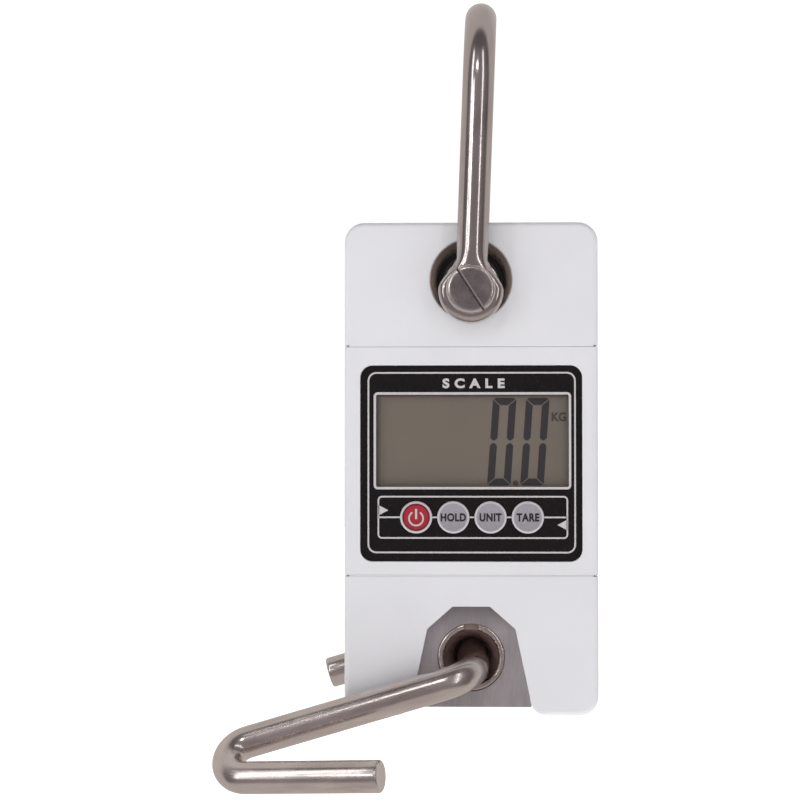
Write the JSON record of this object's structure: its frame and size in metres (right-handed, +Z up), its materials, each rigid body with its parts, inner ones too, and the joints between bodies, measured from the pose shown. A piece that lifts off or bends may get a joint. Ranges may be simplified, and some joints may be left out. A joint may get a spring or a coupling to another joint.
{
  "type": "crane scale",
  "caption": "Hand-size hanging crane scale: flat white case with digital display and keys, pinned bow shackle above, swinging S-hook below.",
  "frame": {"origin": "inner contact point of the shackle's crown, where the crane's hook bears", "axes": "+Z up along the load line, -Y out of the display's face, +X to the right of the display"},
  "size_m": [0.0964, 0.0674, 0.2005],
  "materials": {
    "case_white": "satin",
    "polished_steel": "polished",
    "brushed_cell": "brushed",
    "overlay_black": "gloss",
    "button_silver": "satin",
    "button_red": "gloss",
    "lcd_grey": "satin",
    "clear_window": "gloss",
    "black_nylon": "matte",
    "bearing_bronze": "satin",
    "board_green": "satin",
    "chip_black": "matte",
    "light_white": "matte",
    "gauge_foil": "satin",
    "sealant": "matte",
    "wire_red": "satin",
    "cell_jacket": "gloss",
    "bright_spring": "polished",
    "seal_rubber": "matte"
  },
  "bodies": {
    "shackle": {"shackle_bow": "polished_steel", "shackle_pin": "polished_steel", "pin_end_screw": "polished_steel"},
    "washers": {"pin_washers": "black_nylon"},
    "case": {"front_housing": "case_white", "rear_housing": "case_white", "housing_gasket": "seal_rubber", "display_panel": "case_white", "keypad_overlay": "overlay_black", "display_window": "clear_window", "lcd_frame": "black_nylon", "lcd_glass": "lcd_grey", "lcd_backlight": "light_white", "lcd_connectors": "seal_rubber", "main_board": "board_green", "controller_chip": "chip_black", "converter_chip": "chip_black", "small_components": "gauge_foil", "tact_switches": "chip_black", "buzzer": "chip_black", "board_screws": "bright_spring", "panel_screws": "bright_spring", "load_cell": "brushed_cell", "upper_sleeve": "polished_steel", "upper_bush": "black_nylon", "strain_gauges": "gauge_foil", "gauge_sealant": "sealant", "gauge_wires": "wire_red", "load_cell_screws": "bright_spring", "retaining_rings": "polished_steel", "battery_tray": "black_nylon", "batteries": "cell_jacket", "battery_springs": "bright_spring", "battery_plates": "bright_spring", "battery_wires": "wire_red", "housing_screws": "bright_spring"},
    "power_key": {"power_button": "button_red", "power_button_ring": "button_silver"},
    "hold_key": {"hold_button": "button_silver"},
    "unit_key": {"unit_button": "button_silver"},
    "tare_key": {"tare_button": "button_silver"},
    "bush": {"lower_bush": "bearing_bronze"},
    "hook": {"lower_hook": "polished_steel"},
    "cover": {"battery_cover": "case_white", "battery_cover_screw": "bright_spring"}
  },
  "joints": [
    {"name": "shackle_swing", "type": "hinge", "parent": "shackle", "child": "washers", "pos_m": [-0.00249, 0, -0.06785], "axis": [0, 1, 0], "range_deg": [-140, 140]},
    {"name": "pin_slack", "type": "slide", "parent": "washers", "child": "case", "axis": [0, 0, 1], "range_m": [-0.0061, 0]},
    {"name": "hook_swing", "type": "hinge", "parent": "case", "child": "bush", "pos_m": [-0.00249, 0, -0.16015], "axis": [0, 1, 0], "continuous": true},
    {"name": "hook_twist", "type": "hinge", "parent": "bush", "child": "hook", "pos_m": [-0.00249, 0, -0.16015], "axis": [0.9588, 0, 0.284], "range_deg": [-22.5, 0]},
    {"name": "power_press", "type": "slide", "parent": "case", "child": "power_key", "axis": [0, 1, 0], "range_m": [0, 0.0004], "stiffness_N_per_m": 600},
    {"name": "hold_press", "type": "slide", "parent": "case", "child": "hold_key", "axis": [0, 1, 0], "range_m": [0, 0.0004], "stiffness_N_per_m": 600},
    {"name": "unit_press", "type": "slide", "parent": "case", "child": "unit_key", "axis": [0, 1, 0], "range_m": [0, 0.0004], "stiffness_N_per_m": 600},
    {"name": "tare_press", "type": "slide", "parent": "case", "child": "tare_key", "axis": [0, 1, 0], "range_m": [0, 0.0004], "stiffness_N_per_m": 600},
    {"name": "cover_release", "type": "slide", "parent": "case", "child": "cover", "axis": [0, 1, 0], "range_m": [0, 0.03]}
  ]
}
